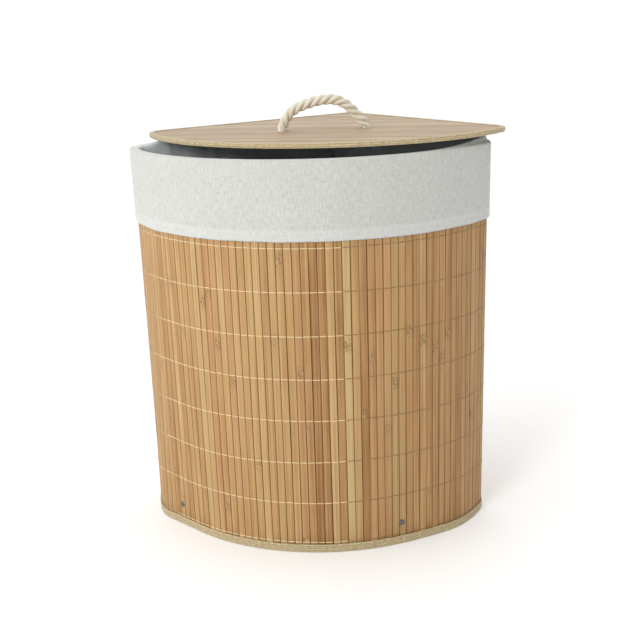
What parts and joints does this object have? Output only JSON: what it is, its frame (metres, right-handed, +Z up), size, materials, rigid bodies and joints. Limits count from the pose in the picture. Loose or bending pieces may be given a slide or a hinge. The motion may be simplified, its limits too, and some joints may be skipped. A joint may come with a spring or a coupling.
{
  "type": "laundry hamper with lid",
  "caption": "Corner laundry hamper: quarter-round wall of upright bamboo slats, loose cloth liner with a turned-down cuff, loose base board and a flat loose lid with a rope handle.",
  "frame": {"origin": "on the floor, under the hamper's plane of symmetry, 200 mm in front of the crossing of the two straight sides", "axes": "+Z up; the two straight walls meet at +Y (the room's corner) and the round front faces -Y; +X is to the right seen from the front"},
  "size_m": [0.49, 0.4268, 0.56],
  "materials": {
    "wall_bamboo": "varnished split bamboo",
    "lid_bamboo": "varnished split bamboo",
    "core_board": "fibreboard",
    "backing_cloth": "non-woven cloth",
    "board_cover": "board covered in non-woven cloth",
    "binding_tape": "woven cotton tape",
    "cotton_thread": "twisted cotton",
    "liner_cloth": "plain weave linen and cotton",
    "liner_thread": "sewing thread",
    "wire": "drawn steel wire",
    "rivet_metal": "dull rivet",
    "rope": "three-strand cotton rope"
  },
  "bodies": {
    "hamper": {"slats_front": "wall_bamboo", "slats_left": "wall_bamboo", "slats_right": "wall_bamboo", "wall_backing": "backing_cloth", "sewing_thread": "cotton_thread", "corner_tape": "binding_tape", "top_wire": "wire", "top_binding": "binding_tape", "bottom_wire": "wire", "bottom_binding": "binding_tape", "bottom_cloth": "backing_cloth", "rivets": "rivet_metal", "rivet_washers": "rivet_metal", "support_frame": "wire"},
    "base": {"base_board": "board_cover"},
    "liner": {"liner_wall": "liner_cloth", "liner_floor": "liner_cloth", "liner_rim": "liner_cloth", "liner_cuff": "liner_cloth", "liner_hem": "liner_cloth", "hem_stitching": "liner_thread"},
    "lid": {"lid_slats": "lid_bamboo", "lid_board": "core_board", "lid_lining": "backing_cloth", "lid_binding": "binding_tape", "rope_ends": "rope"},
    "handle": {"rope_handle": "rope"}
  },
  "joints": [
    {"name": "base_lift", "type": "slide", "parent": "hamper", "child": "base", "axis": [0, 0, 1], "range_m": [0, 0.52]},
    {"name": "liner_lift", "type": "slide", "parent": "base", "child": "liner", "axis": [0, 0, 1], "range_m": [0, 0.52]},
    {"name": "lid_lift", "type": "slide", "parent": "liner", "child": "lid", "axis": [0, 0, 1], "range_m": [0, 0.3]},
    {"name": "handle_swing", "type": "hinge", "parent": "lid", "child": "handle", "pos_m": [0.02233, -0.03157, 0.5224], "axis": [0.965, 0.2622, 0], "range_deg": [-80, 80]}
  ]
}
